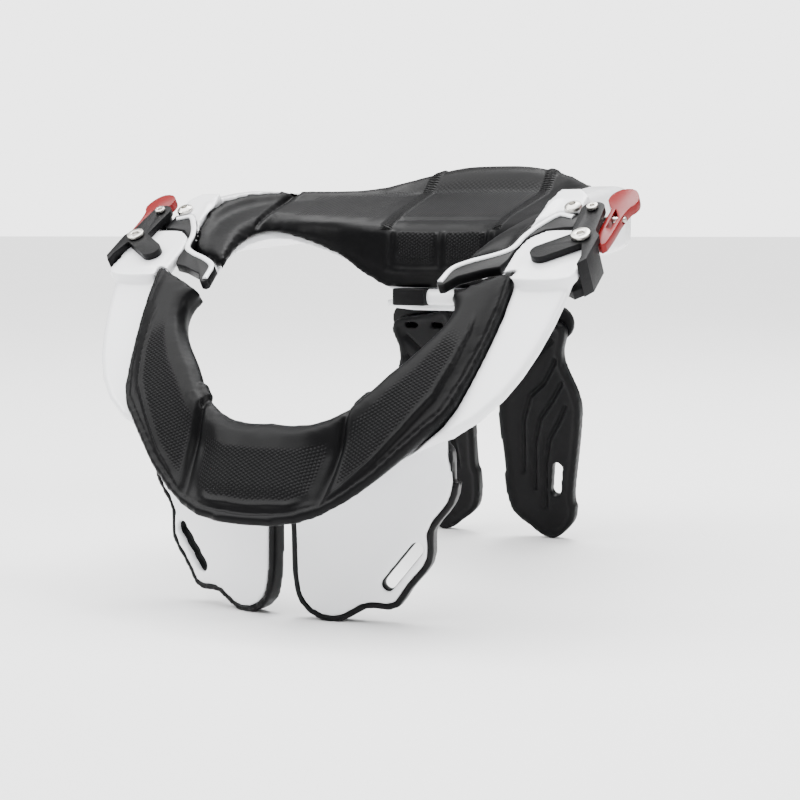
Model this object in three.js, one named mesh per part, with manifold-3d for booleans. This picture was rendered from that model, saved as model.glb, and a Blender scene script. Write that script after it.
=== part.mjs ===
// A motocross neck brace, in millimetres, +Z up, front towards -Y.
// It rests on its two chest lobes and two back wings, with its clasps fastened.

import * as THREE from 'three';
import { mergeVertices } from 'three/addons/utils/BufferGeometryUtils.js';
import Module from 'manifold-3d';

const wasm = await Module();
wasm.setup();

const degree = Math.PI / 180;

// Clearances
const clearance = 0.3;
const padClearance = 0.45;

// Clasps: the large screws' place and the lean of their plane
const claspHalfWidth = 114;
const claspForward = 12.2;
const claspHeight = 163.3;
const claspTilt = 33.4 * degree;

// Front collar: its plane folds down from the clasp plane at the tongue's root
const frontTilt = 51 * degree;
const foldBelowScrew = 14.5;
const tongueTop = -4.3;
const tongueBottom = -9;
const collarHalfWidth = 92;
const collarLength = 127;
const collarLip = -58;
const padFloor = -11;
const frameSheet = 3.3;
const edgeRound = 2.6;

// Chest lobes
const lobeHalfWidth = 78;
const lobeHeight = 90;
const lobeForward = 44.1;
const lobeYaw = 11.6 * degree;
const lobeSheet = 3;
const chestPadThickness = 5;
const rimWidth = 2.2;
const rimSetback = 0.6;
const lobeSlotWidth = 6;

// Rear half
const rearHalfWidth = 91;
const rearLength = 72;
const neckBack = 112;
const rearTableHeight = 199;
const rearLipHeight = 136;
const rearDrawnRise = 63;
const rearRise = (rearTableHeight - rearLipHeight) / rearDrawnRise;

// Back wings and what carries them
const wingHeight = 126;
const wingHalfWidth = 54;
const wingThickness = 6;
const wingFoot = 181;
const wingLean = 13.9 * degree;
const wingSlotWidth = 5.5;
const grooveWidth = 3;
const grooveDepth = 1.2;
const carrierSheet = 4;
const carrierHalfWidth = 48;
const carrierFrontHalf = 22;
const tubeRadius = 4.2;
const rollerHalfLength = 8;
const stubLength = 5;
const stubRadius = 2.2;
const bracketLength = 18;
const bracketDepth = 12;
const ribHalfWidth = 18;
const ribDepth = 16;
const ribBehindLip = 24;
const ribReach = 12;

// Clasp hardware, on the clasp plane
const linkTop = -0.8;
const linkBottom = -4;
const linkRadius = 5.2;
const fingerRadius = 4.8;
const pivotInward = 1.9;
const pivotBehind = 21.4;
const bridgeWidth = 3;
const bossRadius = 4;
const shankDepth = 8;
const footTop = -13.6;
const footSheet = 4;
const largeScrewRadius = 4.15;
const largeShankRadius = 2.4;
const smallScrewRadius = 2.45;
const smallShankRadius = 1.3;
const domeScrewRadius = 4.05;
const screwHeadHeight = 1.5;
const leverThickness = 4.4;
const leverBoreRadius = 1.7;
const leverPinRadius = 1.3;
const seatTop = tongueBottom - clearance;
const seatSheet = 4;
const shoulderTop = -3.5;

const blackFoam = { color: 0x151515, roughness: 0.6, metalness: 0 };
const whitePlastic = { color: 0xf2f2f4, roughness: 0.25, metalness: 0 };
const darkNylon = { color: 0x26272a, roughness: 0.7, metalness: 0 };
const redPlastic = { color: 0xd3222c, roughness: 0.3, metalness: 0 };
const steel = { color: 0xb9b6ae, roughness: 0.35, metalness: 1 };

// Solids

function toSolid(geometry) {
  const bare = geometry.clone();
  bare.deleteAttribute('normal');
  bare.deleteAttribute('uv');
  const welded = mergeVertices(bare, 1e-4);
  const vertProperties = new Float32Array(welded.attributes.position.array);
  const triVerts = new Uint32Array(welded.index.array);
  const solid = new wasm.Manifold(new wasm.Mesh({ numProp: 3, vertProperties, triVerts }));
  if (solid.volume() > 0) {
    return solid;
  }
  const turned = triVerts.map((vertex, place) => triVerts[place - (place % 3) + 2 - (place % 3)]);
  return new wasm.Manifold(new wasm.Mesh({ numProp: 3, vertProperties, triVerts: turned }));
}

function toGeometry(solid) {
  const mesh = solid.getMesh();
  const geometry = new THREE.BufferGeometry();
  geometry.setAttribute('position', new THREE.BufferAttribute(new Float32Array(mesh.vertProperties), 3));
  geometry.setIndex(new THREE.BufferAttribute(new Uint32Array(mesh.triVerts), 1));
  geometry.computeVertexNormals();
  return geometry;
}

// The main body of a solid, without the crumbs that a cut leaves at its edges
function mainBody(solid) {
  return solid.decompose().reduce((best, body) => (body.volume() > best.volume() ? body : best));
}

function moved(geometry, matrix) {
  return geometry.clone().applyMatrix4(matrix);
}

function mirrored(geometry) {
  const flat = geometry.index ? geometry.toNonIndexed() : geometry.clone();
  flat.scale(-1, 1, 1);
  const places = flat.attributes.position;
  const first = new THREE.Vector3();
  const second = new THREE.Vector3();
  for (let corner = 0; corner < places.count; corner += 3) {
    first.fromBufferAttribute(places, corner);
    second.fromBufferAttribute(places, corner + 1);
    places.setXYZ(corner, second.x, second.y, second.z);
    places.setXYZ(corner + 1, first.x, first.y, first.z);
  }
  return flat;
}

// A row of values at every step of a smooth curve through a table's rows
function smoothRows(rows, steps) {
  const keys = Object.keys(rows[0]);
  const curves = keys.map((key) =>
    new THREE.SplineCurve(rows.map((row, place) => new THREE.Vector2(place, row[key]))));
  return Array.from({ length: steps + 1 }, (_, step) => Object.fromEntries(
    keys.map((key, place) => [key, curves[place].getPoint(step / steps).y])));
}

// Rows from the left end through the middle to the right end
function bothSides(rows, sideways) {
  const left = rows.slice(1).reverse().map((row) => {
    const copy = { ...row };
    for (const key of sideways) {
      copy[key] = -row[key];
    }
    return copy;
  });
  return [...left, ...rows];
}

function ringNormal(ring) {
  const normal = new THREE.Vector3();
  ring.forEach((point, place) => {
    normal.add(new THREE.Vector3().crossVectors(point, ring[(place + 1) % ring.length]));
  });
  return normal.normalize();
}

// A closed solid through rings of as many points each
function loft(rings) {
  const count = rings[0].length;
  const faces = [];
  for (let row = 0; row + 1 < rings.length; row += 1) {
    for (let place = 0; place < count; place += 1) {
      const next = (place + 1) % count;
      const near = row * count;
      const far = near + count;
      faces.push(near + place, near + next, far + next, near + place, far + next, far + place);
    }
  }
  const cap = (ring, offset, turned) => {
    const normal = ringNormal(ring);
    const across = new THREE.Vector3().subVectors(ring[1], ring[0]).normalize();
    const along = new THREE.Vector3().crossVectors(normal, across);
    const flat = ring.map((point) => new THREE.Vector2(point.dot(across), point.dot(along)));
    for (const [a, b, c] of THREE.ShapeUtils.triangulateShape(flat, [])) {
      faces.push(...(turned ? [offset + c, offset + b, offset + a] : [offset + a, offset + b, offset + c]));
    }
  };
  cap(rings[0], 0, true);
  cap(rings.at(-1), (rings.length - 1) * count, false);
  const geometry = new THREE.BufferGeometry().setFromPoints(rings.flat());
  geometry.setIndex(faces);
  return geometry;
}

// The same rings, larger all round by a gap and longer by it at both ends
function grown(rings, gap) {
  const wide = rings.map((ring) => {
    const normal = ringNormal(ring);
    return ring.map((point, place) => {
      const before = ring[(place + ring.length - 1) % ring.length];
      const after = ring[(place + 1) % ring.length];
      const inward = new THREE.Vector3().subVectors(point, before).normalize().cross(normal);
      const outward = new THREE.Vector3().subVectors(after, point).normalize().cross(normal);
      const push = new THREE.Vector3().addVectors(inward, outward).normalize();
      const reach = gap / Math.max(push.dot(inward), 0.5);
      return point.clone().addScaledVector(push, reach);
    });
  });
  const middle = (ring) => ring.reduce((sum, point) => sum.add(point), new THREE.Vector3())
    .divideScalar(ring.length);
  const lengthen = (end, inner) => {
    const way = middle(end).sub(middle(inner)).normalize().multiplyScalar(gap);
    end.forEach((point) => point.add(way));
  };
  lengthen(wide[0], wide[1]);
  lengthen(wide.at(-1), wide.at(-2));
  return wide;
}

// Outlines

function outline(points) {
  return new THREE.Shape(points.map(([across, along]) => new THREE.Vector2(across, along)));
}

// A closed smooth outline through its points
function softOutline(points, steps) {
  const curve = new THREE.CatmullRomCurve3(
    points.map(([across, along]) => new THREE.Vector3(across, along, 0)), true, 'centripetal');
  return new THREE.Shape(curve.getSpacedPoints(steps).slice(0, -1)
    .map((point) => new THREE.Vector2(point.x, point.y)));
}

// An outline moved outwards by a distance, or inwards by a negative one
function offsetOutline(shape, distance) {
  const points = shape.getPoints();
  const sign = THREE.ShapeUtils.isClockWise(points) ? -1 : 1;
  const moveOut = points.map((point, place) => {
    const before = points[(place + points.length - 1) % points.length];
    const after = points[(place + 1) % points.length];
    const first = new THREE.Vector2().subVectors(point, before).normalize();
    const second = new THREE.Vector2().subVectors(after, point).normalize();
    const push = new THREE.Vector2(first.y + second.y, -first.x - second.x).normalize();
    const reach = distance / Math.max(push.dot(new THREE.Vector2(first.y, -first.x)), 0.6);
    return point.clone().addScaledVector(push, reach * sign);
  });
  return new THREE.Shape(moveOut);
}

function extruded(shape, bottom, top) {
  const geometry = new THREE.ExtrudeGeometry(shape, {
    depth: top - bottom, bevelEnabled: false, curveSegments: 8,
  });
  return geometry.translate(0, 0, bottom);
}

// A bar with round ends between two points
function capsule(start, end, radius) {
  const way = new THREE.Vector2().subVectors(end, start);
  const turn = Math.atan2(way.y, way.x);
  const shape = new THREE.Shape();
  shape.absarc(end.x, end.y, radius, turn - Math.PI / 2, turn + Math.PI / 2, false);
  shape.absarc(start.x, start.y, radius, turn + Math.PI / 2, turn + Math.PI * 1.5, false);
  return shape;
}

function upright(radius, bottom, top, across, along, sides = 16) {
  return new THREE.CylinderGeometry(radius, radius, top - bottom, sides)
    .rotateX(Math.PI / 2)
    .translate(across, along, (top + bottom) / 2);
}

// Planes of the two tilted halves

const claspPlane = new THREE.Group();
claspPlane.position.set(0, claspForward, claspHeight);
claspPlane.rotation.x = claspTilt;
claspPlane.updateMatrixWorld(true);

const foldPoint = new THREE.Vector3(0, -foldBelowScrew, tongueTop + clearance)
  .applyMatrix4(claspPlane.matrixWorld);
const collarFold = collarLength + collarLip - tongueTop;
const frontPlane = new THREE.Group();
frontPlane.position.copy(foldPoint)
  .addScaledVector(new THREE.Vector3(0, Math.cos(frontTilt), Math.sin(frontTilt)), -collarFold);
frontPlane.rotation.x = frontTilt;
frontPlane.updateMatrixWorld(true);

const toFront = frontPlane.matrixWorld.clone().invert();
const claspToFront = toFront.clone().multiply(claspPlane.matrixWorld);

const brace = new THREE.Group();
const rearHalf = new THREE.Group();
brace.add(frontPlane, claspPlane, rearHalf);

function addPiece(group, name, solid, finish) {
  const mesh = new THREE.Mesh(toGeometry(solid), new THREE.MeshStandardMaterial(finish));
  mesh.name = name;
  group.add(mesh);
}

function addPair(group, name, geometry, finish) {
  addPiece(group, `${name}_right`, toSolid(geometry), finish);
  addPiece(group, `${name}_left`, toSolid(mirrored(geometry)), finish);
}

// Front pad: shares of the collar's half width and length, heights in mm on its plane
const frontPadTable = [
  { innerX: 0.000, innerV: 0.374, outerX: 0.000, outerV: 0.000, innerN: 1.0, outerN: -5.0, dip: 0.0 },
  { innerX: 0.170, innerV: 0.372, outerX: 0.220, outerV: 0.014, innerN: 1.0, outerN: -5.0, dip: 0.0 },
  { innerX: 0.320, innerV: 0.417, outerX: 0.400, outerV: 0.075, innerN: 0.5, outerN: -5.5, dip: 3.0 },
  { innerX: 0.430, innerV: 0.488, outerX: 0.590, outerV: 0.189, innerN: 1.5, outerN: -3.0, dip: 1.5 },
  { innerX: 0.510, innerV: 0.575, outerX: 0.745, outerV: 0.315, innerN: 2.0, outerN: -0.5, dip: 0.0 },
  { innerX: 0.592, innerV: 0.646, outerX: 0.864, outerV: 0.417, innerN: 2.2, outerN: 1.0, dip: 0.0 },
  { innerX: 0.668, innerV: 0.717, outerX: 0.918, outerV: 0.551, innerN: 2.4, outerN: 1.6, dip: 0.0 },
  { innerX: 0.722, innerV: 0.787, outerX: 0.957, outerV: 0.701, innerN: 2.6, outerN: 2.0, dip: 0.0 },
  { innerX: 0.730, innerV: 0.850, outerX: 0.984, outerV: 0.850, innerN: 2.6, outerN: 2.4, dip: 0.0 },
  { innerX: 0.690, innerV: 0.890, outerX: 0.990, outerV: 1.000, innerN: 2.2, outerN: 2.6, dip: 0.0 },
];
const frontPadSteps = 30;

function frontPadRings() {
  const rows = smoothRows(bothSides(frontPadTable, ['innerX', 'outerX']), frontPadSteps);
  return rows.map((row) => {
    const at = (share, height) => new THREE.Vector3(
      THREE.MathUtils.lerp(row.innerX, row.outerX, share) * collarHalfWidth,
      THREE.MathUtils.lerp(row.innerV, row.outerV, share) * collarLength + collarLip,
      height);
    const slope = (share) => THREE.MathUtils.lerp(row.innerN, row.outerN, share);
    return [
      at(0.1, padFloor),
      at(0, row.innerN - edgeRound * 1.6),
      at(0.05, row.innerN - edgeRound * 0.4),
      at(0.14, row.innerN),
      at(0.4, slope(0.4) - row.dip),
      at(0.68, slope(0.68) - row.dip),
      at(0.86, row.outerN - edgeRound * 0.5),
      at(0.92, row.outerN),
      at(0.97, row.outerN - edgeRound * 0.3),
      at(1, row.outerN - edgeRound),
      at(0.97, row.outerN - edgeRound * 2),
      at(0.88, padFloor),
    ];
  });
}

// Front frame: its inner edge as a share across the pad, its outer edge in shares as above
const frontFrameTable = [
  { inner: 0.02, outerX: 0.000, outerV: 0.070, face: -8.0 },
  { inner: 0.02, outerX: 0.205, outerV: 0.084, face: -8.0 },
  { inner: 0.04, outerX: 0.375, outerV: 0.138, face: -8.0 },
  { inner: 0.10, outerX: 0.550, outerV: 0.240, face: -8.0 },
  { inner: 0.16, outerX: 0.730, outerV: 0.335, face: -7.0 },
  { inner: 0.22, outerX: 0.925, outerV: 0.400, face: -5.0 },
  { inner: 0.24, outerX: 1.085, outerV: 0.525, face: -3.6 },
  { inner: 0.26, outerX: 1.175, outerV: 0.672, face: -2.8 },
  { inner: 0.28, outerX: 1.235, outerV: 0.840, face: -2.0 },
  { inner: 0.30, outerX: 1.262, outerV: 0.985, face: -1.0 },
];

function frontFrameRings() {
  const sideways = ['innerX', 'padX', 'outerX'];
  const joined = frontPadTable.map((pad, place) => {
    const frame = frontFrameTable[place];
    return {
      innerX: THREE.MathUtils.lerp(pad.innerX, pad.outerX, frame.inner),
      innerV: THREE.MathUtils.lerp(pad.innerV, pad.outerV, frame.inner),
      padX: THREE.MathUtils.lerp(pad.innerX, pad.outerX, 0.8),
      padV: THREE.MathUtils.lerp(pad.innerV, pad.outerV, 0.8),
      outerX: frame.outerX,
      outerV: frame.outerV,
      face: frame.face,
    };
  });
  return smoothRows(bothSides(joined, sideways), frontPadSteps).map((row) => {
    const place = (x, v, height) => new THREE.Vector3(
      x * collarHalfWidth, v * collarLength + collarLip, height);
    const inset = (share, height) => place(
      THREE.MathUtils.lerp(row.padX, row.outerX, share),
      THREE.MathUtils.lerp(row.padV, row.outerV, share), height);
    const floor = padFloor - clearance - frameSheet;
    return [
      place(row.innerX, row.innerV, floor),
      place(row.innerX, row.innerV, padFloor + 1),
      place(row.padX, row.padV, row.face),
      inset(0.88, row.face),
      inset(0.96, row.face - edgeRound * 0.3),
      inset(1, row.face - edgeRound),
      inset(0.95, row.face - edgeRound * 1.9),
      inset(0.3, Math.min(row.face - edgeRound * 2.2, padFloor + 1)),
      place(row.padX, row.padV, floor),
    ];
  });
}

// Tongue: the front arm's rounded end under the clasp, on the clasp plane
const tongueOutline = softOutline([
  [claspHalfWidth + 2.8, -24], [claspHalfWidth + 3.4, -14], [claspHalfWidth + 3.8, -3],
  [claspHalfWidth + 1, 6.6], [claspHalfWidth - 5, 9.6], [claspHalfWidth - 13, 10.9],
  [claspHalfWidth - 20, 9.2], [claspHalfWidth - 25.5, 4.5], [claspHalfWidth - 28, -3],
  [claspHalfWidth - 28.6, -12], [claspHalfWidth - 27, -24],
], 32);

function tongue() {
  const plate = toSolid(extruded(tongueOutline, tongueBottom, tongueTop));
  const bore = toSolid(upright(
    largeShankRadius + clearance, tongueBottom - 1, tongueTop + 1, claspHalfWidth, 0));
  return toGeometry(plate.subtract(bore));
}

// Chest lobe outline: shares of the lobes' half width and height
const lobeTable = [
  [0.064, 0.80], [0.064, 0.46], [0.100, 0.10], [0.190, 0.022], [0.320, 0.000], [0.430, 0.045],
  [0.500, 0.078], [0.650, 0.078], [0.740, 0.180], [0.850, 0.300], [0.862, 0.370], [0.860, 0.450],
  [0.975, 0.590], [1.000, 0.680], [0.975, 0.810], [0.940, 1.020], [0.500, 0.930],
].map(([x, z]) => [x * lobeHalfWidth, z * lobeHeight]);
const chestPadOutline = softOutline(lobeTable.map(([x, z], place) =>
  [x, place === 0 || place > 13 ? z - 14 : z]), 54);
const lobeOutline = offsetOutline(softOutline(lobeTable, 54), -rimWidth);
const lobeSlot = capsule(
  new THREE.Vector2(0.612 * lobeHalfWidth, 0.190 * lobeHeight),
  new THREE.Vector2(0.775 * lobeHalfWidth, 0.365 * lobeHeight), lobeSlotWidth / 2);

// Stands a lobe's flat outline upright, faced forwards, and turns it about the brace's middle
const lobePlace = new THREE.Matrix4().makeTranslation(0, -lobeForward, 0)
  .multiply(new THREE.Matrix4().makeRotationZ(lobeYaw))
  .multiply(new THREE.Matrix4().makeRotationX(Math.PI / 2));

function lobe() {
  const plate = toSolid(extruded(lobeOutline, -lobeSheet, 0));
  const slot = toSolid(extruded(lobeSlot, -lobeSheet - 1, 1));
  return moved(toGeometry(plate.subtract(slot)), lobePlace);
}

// The black pad behind a lobe, whose rim stands round the white plate's edge
function chestPad() {
  const back = -lobeSheet - clearance - chestPadThickness;
  const tray = toSolid(extruded(chestPadOutline, back, -rimSetback));
  const recess = toSolid(extruded(offsetOutline(lobeOutline, clearance), -lobeSheet - clearance, 1));
  const slot = toSolid(extruded(lobeSlot, back - 1, 1));
  return moved(toGeometry(mainBody(tray.subtract(recess).subtract(slot))), lobePlace);
}

// Rear pad: plan places in shares of the rear half width and length, heights in mm for the drawn rise
const rearPadTable = [
  {
    innerX: 0, innerY: 0, lip: 0, crest: -33,
    outerX: 0, outerY: 0.99, table: -15, rim: 0, base: -21,
  },
  {
    innerX: 0.2, innerY: 0, lip: 0, crest: -33,
    outerX: 0.22, outerY: 1, table: -15, rim: -0.5, base: -21,
  },
  {
    innerX: 0.375, innerY: -0.055, lip: 1.5, crest: -32,
    outerX: 0.42, outerY: 1, table: -16, rim: -4, base: -23,
  },
  {
    innerX: 0.55, innerY: -0.208, lip: 16, crest: -30,
    outerX: 0.64, outerY: 0.78, table: -17, rim: -11, base: -27,
  },
  {
    innerX: 0.68, innerY: -0.417, lip: 24, crest: -29,
    outerX: 0.79, outerY: 0.47, table: -18, rim: -13, base: -29,
  },
  {
    innerX: 0.747, innerY: -0.64, lip: 28, crest: -29,
    outerX: 0.9, outerY: 0.08, table: -19, rim: -13, base: -29,
  },
  {
    innerX: 0.758, innerY: -0.86, lip: 27, crest: -31,
    outerX: 0.967, outerY: -0.33, table: -21, rim: -14, base: -30,
  },
  {
    innerX: 0.747, innerY: -1.055, lip: 23, crest: -34,
    outerX: 1, outerY: -0.72, table: -25, rim: -17, base: -33,
  },
  {
    innerX: 0.714, innerY: -1.264, lip: 17.5, crest: -39,
    outerX: 0.985, outerY: -1.06, table: -32, rim: -25, base: -38,
  },
  {
    innerX: 0.681, innerY: -1.43, lip: 11, crest: -45,
    outerX: 0.912, outerY: -1.32, table: -42.5, rim: -39.5, base: -47,
  },
];
const rearPadSteps = 30;

function rearPlan(row, share, height) {
  return new THREE.Vector3(
    THREE.MathUtils.lerp(row.innerX, row.outerX, share) * rearHalfWidth,
    THREE.MathUtils.lerp(row.innerY, row.outerY, share) * rearLength + neckBack,
    height);
}

function rearPadRings() {
  const rows = smoothRows(bothSides(rearPadTable, ['innerX', 'outerX']), rearPadSteps);
  return rows.map((row) => {
    const lip = rearLipHeight + row.lip * rearRise;
    const crest = rearTableHeight + row.crest * rearRise;
    const table = rearTableHeight + row.table * rearRise;
    const rim = rearTableHeight + row.rim * rearRise;
    const base = rearTableHeight + row.base * rearRise;
    return [
      rearPlan(row, 0.01, lip),
      rearPlan(row, -0.015, lip + (crest - lip) * 0.3),
      rearPlan(row, 0, crest - edgeRound * 1.4),
      rearPlan(row, 0.045, crest),
      rearPlan(row, 0.25, THREE.MathUtils.lerp(crest, table, 0.35)),
      rearPlan(row, 0.74, table),
      rearPlan(row, 0.86, THREE.MathUtils.lerp(table, rim, 0.75)),
      rearPlan(row, 0.94, rim),
      rearPlan(row, 0.99, rim - edgeRound * 0.6),
      rearPlan(row, 1.01, rim - edgeRound * 2),
      rearPlan(row, 1.01, base),
      rearPlan(row, 0.5, THREE.MathUtils.lerp(lip, base, 0.6)),
      rearPlan(row, 0.14, lip),
    ];
  });
}

// Rear frame: the outer wall's plan place in the same shares, its top and foot from the table height
const rearFrameTable = [
  { inner: 0.22, wallX: 0.000, wallY: 1.040, top: -12.0, foot: -27.0 },
  { inner: 0.22, wallX: 0.225, wallY: 1.050, top: -12.0, foot: -27.0 },
  { inner: 0.20, wallX: 0.460, wallY: 1.040, top: -15.0, foot: -30.0 },
  { inner: 0.20, wallX: 0.725, wallY: 0.820, top: -17.0, foot: -35.0 },
  { inner: 0.20, wallX: 0.925, wallY: 0.500, top: -17.0, foot: -39.0 },
  { inner: 0.20, wallX: 1.060, wallY: 0.130, top: -15.0, foot: -42.0 },
  { inner: 0.20, wallX: 1.135, wallY: -0.240, top: -14.0, foot: -44.0 },
  { inner: 0.20, wallX: 1.135, wallY: -0.630, top: -17.0, foot: -46.0 },
  { inner: 0.20, wallX: 1.095, wallY: -0.980, top: -22.0, foot: -44.0 },
  { inner: 0.20, wallX: 0.985, wallY: -1.290, top: -40.0, foot: -52.0 },
];

function rearFrameRings() {
  const joined = rearPadTable.map((pad, place) => ({ ...pad, ...rearFrameTable[place] }));
  const rows = smoothRows(bothSides(joined, ['innerX', 'outerX', 'wallX']), rearPadSteps);
  return rows.map((row) => {
    const lip = rearLipHeight + row.lip * rearRise;
    const base = rearTableHeight + row.base * rearRise;
    const top = rearTableHeight + row.top * rearRise;
    const foot = rearTableHeight + row.foot * rearRise;
    const wall = (share, height) => new THREE.Vector3(
      THREE.MathUtils.lerp(row.outerX, row.wallX, share) * rearHalfWidth,
      THREE.MathUtils.lerp(row.outerY, row.wallY, share) * rearLength + neckBack,
      height);
    return [
      rearPlan(row, row.inner, lip - frameSheet),
      rearPlan(row, row.inner, lip + 2),
      rearPlan(row, row.inner + 0.24, lip + 5),
      rearPlan(row, 0.94, base + 4),
      wall(0, top),
      wall(0.75, top),
      wall(0.95, top - edgeRound * 0.6),
      wall(1, top - edgeRound * 1.6),
      wall(1, foot + edgeRound),
      wall(0.8, foot),
      rearPlan(row, 0.55, THREE.MathUtils.lerp(lip, base, 0.6) - frameSheet - 1.5),
      rearPlan(row, row.inner + 0.14, lip - frameSheet),
    ];
  });
}

// Bumper: a strip on the rear half that follows the tongue, then reaches in to the pads' ends
const bumperOutline = outline([
  [claspHalfWidth - 8.5, 12.3], [claspHalfWidth - 8.5, 23.2], [claspHalfWidth - 18.5, 23.2],
  [claspHalfWidth - 25.5, 14.5], [claspHalfWidth - 29.6, 6], [claspHalfWidth - 31.8, -3],
  [claspHalfWidth - 37, -7.5], [claspHalfWidth - 47.2, -12.8], [claspHalfWidth - 54, -18.7],
  [claspHalfWidth - 56, -30], [claspHalfWidth - 54.8, -31.5], [claspHalfWidth - 52.4, -31],
  [claspHalfWidth - 48.5, -25], [claspHalfWidth - 38, -19.5], [claspHalfWidth - 31.5, -17.5],
  [claspHalfWidth - 29.6, -12], [claspHalfWidth - 29, -3], [claspHalfWidth - 26.2, 5],
  [claspHalfWidth - 20.5, 10.4], [claspHalfWidth - 13, 12.1],
]);

// The room that the tongue, the link and the lever need beside the rear half
const claspRoom = outline([
  [claspHalfWidth - 31, -60], [claspHalfWidth - 31, -16], [claspHalfWidth - 30.4, -3],
  [claspHalfWidth - 26.6, 6], [claspHalfWidth - 20.6, 12], [claspHalfWidth - 8.2, 12.6],
  [claspHalfWidth - 8.2, 60], [claspHalfWidth + 40, 60], [claspHalfWidth + 40, -60],
]);

// Seat: the rear half's plate under the tongue, and the raised shoulder behind it
const seatOutline = outline([
  [claspHalfWidth - 35, -6], [claspHalfWidth + 1, -6], [claspHalfWidth + 2.8, -3],
  [claspHalfWidth + 2.8, 24], [claspHalfWidth - 4, 34], [claspHalfWidth - 35, 34],
]);
const shoulderOutline = outline([
  [claspHalfWidth - 27, 14], [claspHalfWidth - 9, 14], [claspHalfWidth - 9, 36],
  [claspHalfWidth - 14, 42], [claspHalfWidth - 24, 42], [claspHalfWidth - 27, 30],
]);
const underSeat = outline([
  [claspHalfWidth - 60, -8], [claspHalfWidth + 40, -8], [claspHalfWidth + 40, 60],
  [claspHalfWidth - 60, 60],
]);

function rearPad() {
  let pad = toSolid(loft(rearPadRings()));
  const strip = extruded(offsetOutline(bumperOutline, clearance), tongueBottom - clearance, 40);
  const room = extruded(claspRoom, seatTop, 60);
  for (const side of [(shape) => shape, mirrored]) {
    pad = pad.subtract(toSolid(moved(side(strip), claspPlane.matrixWorld)));
    pad = pad.subtract(toSolid(moved(side(room), claspPlane.matrixWorld)));
  }
  return mainBody(pad);
}

const frontPadSolid = toSolid(loft(frontPadRings()));

function frontFrame() {
  let frame = toSolid(loft(frontFrameRings()));
  const cut = toSolid(moved(extruded(underSeat, -60, tongueBottom), claspToFront));
  const cutLeft = toSolid(moved(mirrored(extruded(underSeat, -60, tongueBottom)), claspToFront));
  frame = frame.subtract(cut).subtract(cutLeft);
  const bore = upright(largeShankRadius + clearance, tongueBottom - 20, tongueTop + 20, claspHalfWidth, 0);
  for (const side of [(shape) => shape, mirrored]) {
    frame = frame.add(toSolid(moved(side(tongue()), claspToFront)));
    frame = frame.subtract(toSolid(moved(side(bore), claspToFront)));
    frame = frame.add(toSolid(moved(side(lobe()), toFront)));
  }
  return mainBody(frame.subtract(toSolid(loft(grown(frontPadRings(), padClearance)))));
}

const carrierFoot = Math.cos(wingLean) * wingHeight + Math.sin(wingLean) * wingThickness + clearance;
const tubeY = neckBack + 3;
const tubeZ = rearLipHeight - tubeRadius - clearance - 0.2;

function strutCarrier() {
  const back = wingFoot - Math.sin(wingLean) * wingHeight + wingThickness;
  const front = tubeY + bracketDepth / 2 + clearance;
  const plan = outline([
    [-carrierFrontHalf, front], [carrierFrontHalf, front], [carrierHalfWidth, back - wingThickness * 2],
    [carrierHalfWidth, back], [-carrierHalfWidth, back], [-carrierHalfWidth, back - wingThickness * 2],
  ]);
  return extruded(plan, carrierFoot, carrierFoot + carrierSheet);
}

// The rib that joins the carrier to the shell above it
function carrierRib() {
  const foot = carrierFoot + carrierSheet / 2;
  const top = rearLipHeight + ribReach;
  return new THREE.BoxGeometry(ribHalfWidth * 2, ribDepth, top - foot)
    .translate(0, neckBack + ribBehindLip, (top + foot) / 2);
}

function rearFrame() {
  let frame = toSolid(loft(rearFrameRings()));
  const room = extruded(claspRoom, seatTop, 60);
  const seat = extruded(seatOutline, seatTop - seatSheet, seatTop);
  const shoulder = extruded(shoulderOutline, seatTop - seatSheet, shoulderTop);
  const strip = extruded(offsetOutline(bumperOutline, clearance), tongueBottom - clearance, 40);
  for (const side of [(shape) => shape, mirrored]) {
    frame = frame.add(toSolid(moved(side(shoulder), claspPlane.matrixWorld)));
    frame = frame.subtract(toSolid(moved(side(room), claspPlane.matrixWorld)));
    frame = frame.add(toSolid(moved(side(seat), claspPlane.matrixWorld)));
    frame = frame.subtract(toSolid(moved(side(strip), claspPlane.matrixWorld)));
  }
  frame = frame.add(toSolid(strutCarrier())).add(toSolid(carrierRib()));
  return mainBody(frame.subtract(toSolid(loft(grown(rearPadRings(), padClearance)))));
}

// Clasp bracket: link and finger over the tongue, a body down the arm's outer side, a pivot boss
const pivotX = claspHalfWidth - pivotInward;
const pivot = new THREE.Vector2(pivotX, pivotBehind);
const screwPoint = new THREE.Vector2(claspHalfWidth, 0);
const fingerTip = new THREE.Vector2(claspHalfWidth - 14.5, -10.5);
const bridgeOutline = outline([
  [claspHalfWidth - 3, 5], [claspHalfWidth + 4.6, 5], [claspHalfWidth + 4.6 + bridgeWidth, 1],
  [claspHalfWidth + 4.6 + bridgeWidth, -14], [claspHalfWidth + 4.6, -14],
  [claspHalfWidth + 2, -5], [claspHalfWidth - 3, -5],
]);
const bridgeWall = outline([
  [claspHalfWidth + 4.6, -2], [claspHalfWidth + 4.6 + bridgeWidth, -2.4],
  [claspHalfWidth + 4.6 + bridgeWidth, -16], [claspHalfWidth + 4.6, -20],
]);
const footOutline = outline([
  [claspHalfWidth - 5, -8.4], [claspHalfWidth + 4.6 + bridgeWidth, -8.4],
  [claspHalfWidth + 4.6 + bridgeWidth, -16], [claspHalfWidth + 1, -22], [claspHalfWidth - 5, -18],
]);

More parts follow.
